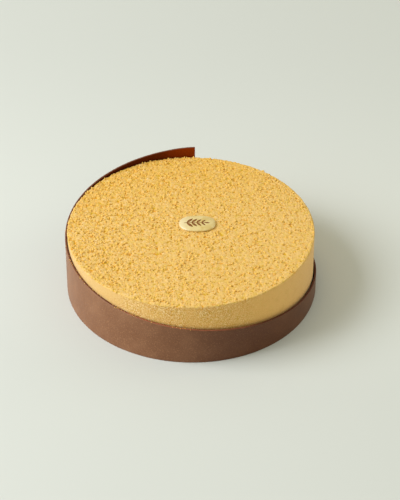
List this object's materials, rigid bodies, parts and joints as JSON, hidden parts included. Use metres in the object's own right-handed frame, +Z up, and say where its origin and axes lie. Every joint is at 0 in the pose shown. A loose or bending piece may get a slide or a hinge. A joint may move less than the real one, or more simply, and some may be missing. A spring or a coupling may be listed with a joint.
{
  "type": "spiced tea cake",
  "caption": "Round tea mousse cake with a crumbly velvet-sprayed top, a slanting chocolate strip wound once round its side and a small oval plaque on top.",
  "frame": {"origin": "centre of the cake's round base, on the surface that it rests on", "axes": "+Z up, -Y towards the front, which is the side the picture was taken from; the strip's tall end stands at the back, +Y"},
  "size_m": [0.1847, 0.1849, 0.0573],
  "materials": {
    "velvet_spray": "matte golden velvet spray of cocoa butter, crumbly on top",
    "chocolate": "dark milk chocolate, satin outside and glossy inside",
    "white_chocolate": "smooth satin white chocolate"
  },
  "bodies": {
    "root": {"mousse_cake": "velvet_spray", "chocolate_band": "chocolate", "plaque": "white_chocolate"}
  },
  "joints": []
}
